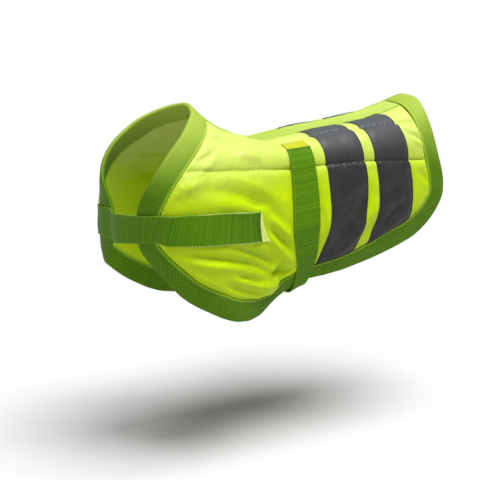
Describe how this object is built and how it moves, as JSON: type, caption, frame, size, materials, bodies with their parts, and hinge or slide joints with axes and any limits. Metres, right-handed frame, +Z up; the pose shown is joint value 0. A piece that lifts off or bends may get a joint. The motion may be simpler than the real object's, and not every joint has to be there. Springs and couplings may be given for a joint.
{
  "type": "reflective dog coat",
  "caption": "Fluorescent yellow padded wrap coat for a small dog, with green webbing edges, grey reflective tapes, a chest strap and a belly strap, in its worn shape.",
  "frame": {"origin": "on the inside of the panel on the spine, mid-back, where the coat rests on the wearer", "axes": "+X toward the tail, +Y toward the dog's right side, +Z up; the picture shows the left side"},
  "size_m": [0.4138, 0.1776, 0.2319],
  "materials": {
    "hi_vis_nylon": "padded woven nylon, soft sheen",
    "edge_webbing": "herringbone webbing, folded",
    "spine_webbing": "flat webbing",
    "strap_webbing": "ribbed webbing",
    "reflective_tape": "coated cloth, satin grey",
    "loop_patch": "brushed loop pile"
  },
  "bodies": {
    "root": {"body_panel": "hi_vis_nylon", "edge_binding": "edge_webbing", "reflective_tape_front": "reflective_tape", "reflective_tape_rear": "reflective_tape", "spine_webbing": "spine_webbing", "chest_loop_patch": "loop_patch", "belly_loop_patch": "loop_patch", "chest_strap": "strap_webbing", "belly_strap": "strap_webbing"}
  },
  "joints": []
}
